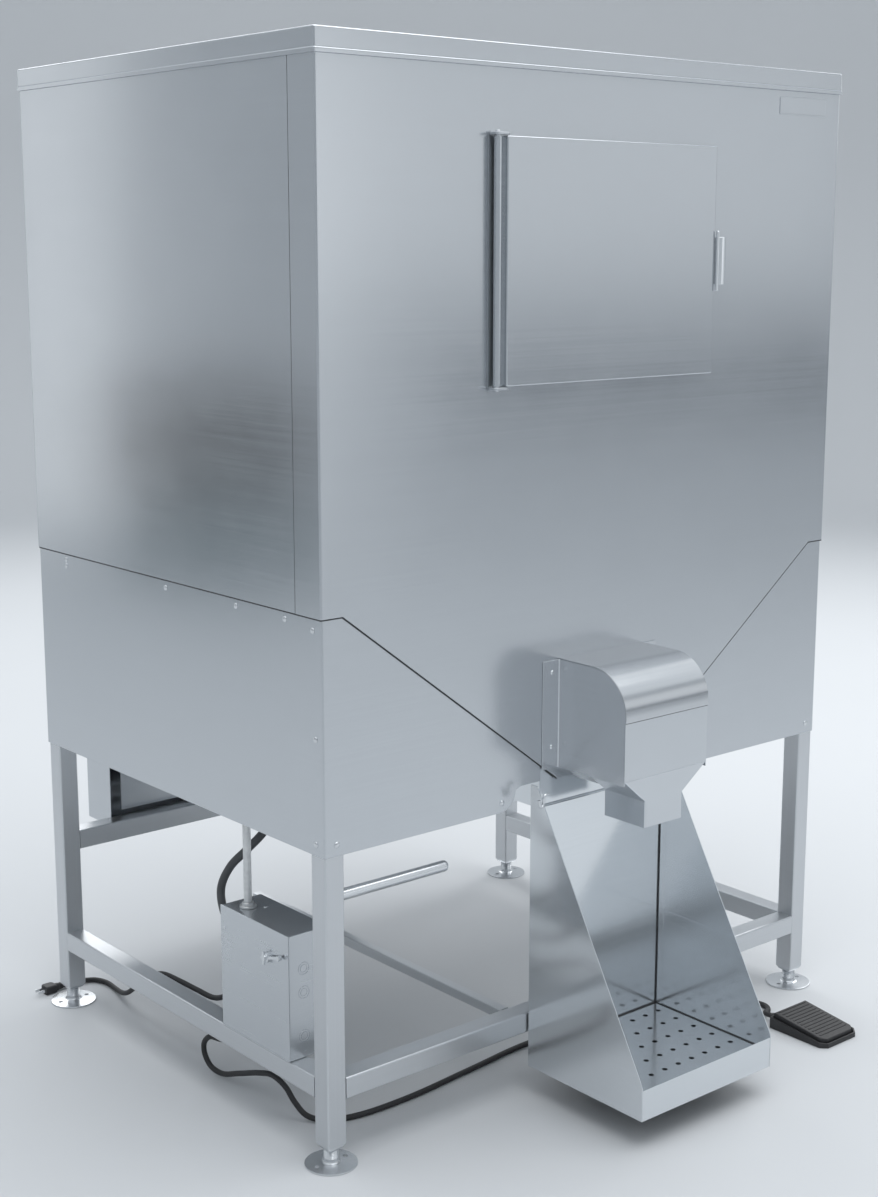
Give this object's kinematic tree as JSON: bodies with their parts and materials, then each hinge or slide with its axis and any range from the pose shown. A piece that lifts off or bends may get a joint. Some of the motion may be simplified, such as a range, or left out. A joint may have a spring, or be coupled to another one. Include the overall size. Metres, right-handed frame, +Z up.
{
  "type": "ice storage bin with screw discharge",
  "caption": "Insulated stainless storage bin on legs, with a bottom screw that drives ice out of a hooded chute over a bag stand, a hinged front door, a control box and a foot switch.",
  "frame": {"origin": "on the floor, midway between the lid's sides and midway between the bag stand's front and the drive guard's back", "axes": "+X to the right along the front, +Y to the back, +Z up"},
  "size_m": [1.26, 1.2796, 1.7988],
  "materials": {
    "stainless": "brushed stainless sheet, fine level grain",
    "stainless_bright": "brighter stainless sheet and bar, soft mirror",
    "stainless_liner": "food grade stainless, satin",
    "stainless_tube": "square tube with a lengthwise grain",
    "stainless_foot": "turned stainless",
    "galvanised": "galvanised steel pipe",
    "cast_housing": "sand cast, matt",
    "motor_paint": "dark blue-grey enamel",
    "insulation_foam": "foamed in place",
    "white_plastic": "moulded white plastic, satin",
    "gasket_rubber": "dark grey, matt",
    "black_plastic": "black moulding, fine texture",
    "black_rubber": "black, matt"
  },
  "bodies": {
    "cabinet": {"front_skin": "stainless", "left_skin": "stainless", "right_skin": "stainless", "back_skin": "stainless", "skirt_left": "stainless", "skirt_right": "stainless", "hopper_pan": "stainless", "lid": "stainless", "chute_body": "stainless", "chute_hood": "stainless", "drive_guard": "stainless", "box_body": "stainless", "hinge_bracket": "stainless", "bag_stand_left": "stainless_bright", "bag_stand_right": "stainless_bright", "bag_stand_back": "stainless_bright", "bag_floor": "stainless_bright", "hinge_rod": "stainless_bright", "door_strike": "stainless_bright", "bag_hook_left": "stainless_bright", "bag_hook_right": "stainless_bright", "bag_roll_rod": "stainless_bright", "liner_left": "stainless_liner", "liner_right": "stainless_liner", "liner_front": "stainless_liner", "liner_back": "stainless_liner", "auger_trough": "stainless_liner", "leg_front_left": "stainless_tube", "leg_front_right": "stainless_tube", "leg_back_left": "stainless_tube", "leg_back_right": "stainless_tube", "rail_left": "stainless_tube", "rail_right": "stainless_tube", "rail_front": "stainless_tube", "rail_rear": "stainless_tube", "rail_middle": "stainless_tube", "conduit_pipe": "galvanised", "gearbox": "cast_housing", "auger_bearing": "cast_housing", "motor": "motor_paint", "insulation": "insulation_foam", "door_throat": "white_plastic", "motor_conduit": "gasket_rubber", "pedal_base": "black_plastic", "foot_cord": "black_rubber", "power_cord": "black_rubber", "power_plug": "black_rubber"},
    "door": {"door_panel": "stainless", "door_core": "white_plastic", "door_gasket": "gasket_rubber"},
    "door_latch": {"door_latch": "stainless_bright"},
    "auger": {"auger": "stainless_bright"},
    "inlet_cover": {"inlet_cover": "stainless"},
    "box_door": {"box_door": "stainless"},
    "box_latch": {"box_latch": "stainless_bright"},
    "pedal_treadle": {"pedal_treadle": "black_rubber"},
    "foot_front_left": {"foot_front_left": "stainless_foot"},
    "foot_front_right": {"foot_front_right": "stainless_foot"},
    "foot_back_left": {"foot_back_left": "stainless_foot"},
    "foot_back_right": {"foot_back_right": "stainless_foot"}
  },
  "joints": [
    {"name": "door_swing", "type": "hinge", "parent": "cabinet", "child": "door", "pos_m": [-0.2596, -0.37425, 1.457], "axis": [0, 0, -1], "range_deg": [0, 160]},
    {"name": "latch_turn", "type": "hinge", "parent": "door", "child": "door_latch", "pos_m": [0.2479, -0.38775, 1.457], "axis": [0, 0, -1], "range_deg": [0, 30], "stiffness_Nm_per_rad": 0.4},
    {"name": "auger_spin", "type": "hinge", "parent": "cabinet", "child": "auger", "pos_m": [0, 0.03475, 0.6485], "axis": [0, 1, 0], "continuous": true},
    {"name": "cover_lift", "type": "slide", "parent": "cabinet", "child": "inlet_cover", "axis": [0, 0, 1], "range_m": [0, 0.08]},
    {"name": "box_door_swing", "type": "hinge", "parent": "cabinet", "child": "box_door", "pos_m": [-0.6034, -0.05425, 0.262], "axis": [0, 0, -1], "range_deg": [0, 110]},
    {"name": "box_latch_turn", "type": "hinge", "parent": "box_door", "child": "box_latch", "pos_m": [-0.6096, -0.19425, 0.32], "axis": [1, 0, 0], "range_deg": [0, 90]},
    {"name": "treadle_tilt", "type": "hinge", "parent": "cabinet", "child": "pedal_treadle", "pos_m": [0.4329, -0.58625, 0.011], "axis": [-1, 0, 0], "range_deg": [0, 4], "stiffness_Nm_per_rad": 30, "springref_deg": -2.86},
    {"name": "foot_screw_front_left", "type": "slide", "parent": "cabinet", "child": "foot_front_left", "axis": [0, 0, -1], "range_m": [-0.012, 0.02]},
    {"name": "foot_screw_front_right", "type": "slide", "parent": "cabinet", "child": "foot_front_right", "axis": [0, 0, -1], "range_m": [-0.012, 0.02]},
    {"name": "foot_screw_back_left", "type": "slide", "parent": "cabinet", "child": "foot_back_left", "axis": [0, 0, -1], "range_m": [-0.012, 0.02]},
    {"name": "foot_screw_back_right", "type": "slide", "parent": "cabinet", "child": "foot_back_right", "axis": [0, 0, -1], "range_m": [-0.012, 0.02]}
  ]
}
